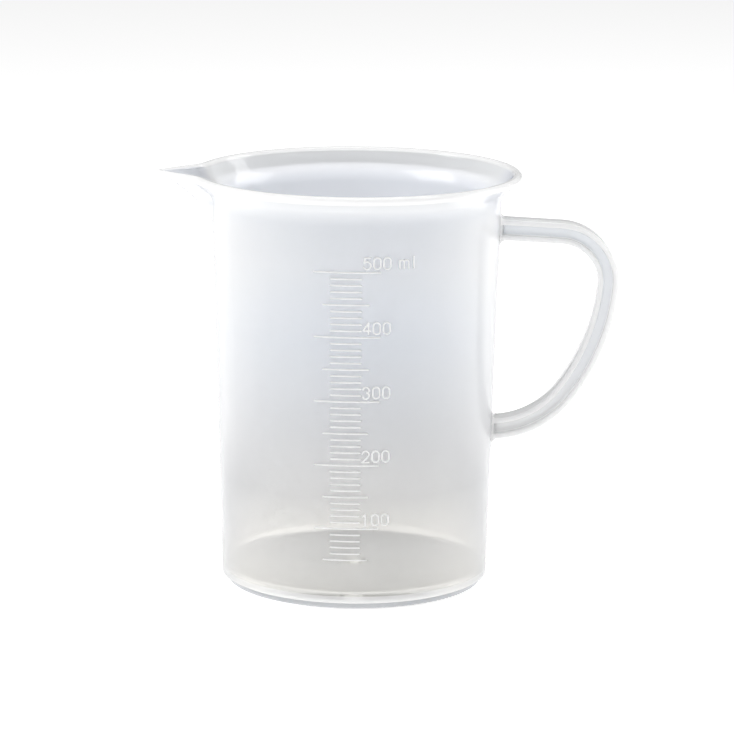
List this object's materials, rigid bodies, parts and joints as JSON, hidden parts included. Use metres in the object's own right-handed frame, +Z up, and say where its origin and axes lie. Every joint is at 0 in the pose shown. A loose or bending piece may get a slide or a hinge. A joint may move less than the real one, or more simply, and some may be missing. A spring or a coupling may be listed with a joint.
{
  "type": "handled measuring beaker",
  "caption": "Translucent plastic measuring beaker with a flared rim, pouring spout, D-shaped I-section handle and a raised millilitre scale.",
  "frame": {"origin": "centre of the foot's resting face", "axes": "+Z up along the vessel's axis; the handle is at +X, the spout at -X and the scale at the front, -Y"},
  "size_m": [0.1395, 0.0994, 0.1254],
  "materials": {
    "translucent_wall": "translucent satin gloss",
    "translucent_solid": "translucent satin gloss",
    "raised_scale": "satin"
  },
  "bodies": {
    "root": {"vessel_wall": "translucent_wall", "pouring_spout": "translucent_wall", "vessel_floor": "translucent_wall", "rim_lip": "translucent_solid", "foot_ring": "translucent_solid", "gate_boss": "translucent_solid", "sprue_stub": "translucent_solid", "handle_outer_flange": "translucent_solid", "handle_web": "translucent_solid", "handle_inner_flange": "translucent_solid", "handle_upper_root": "translucent_solid", "handle_lower_root": "translucent_solid", "long_marks": "raised_scale", "middle_marks": "raised_scale", "short_marks": "raised_scale", "numeral_100": "raised_scale", "numeral_200": "raised_scale", "numeral_300": "raised_scale", "numeral_400": "raised_scale", "numeral_500_ml": "raised_scale"}
  },
  "joints": []
}
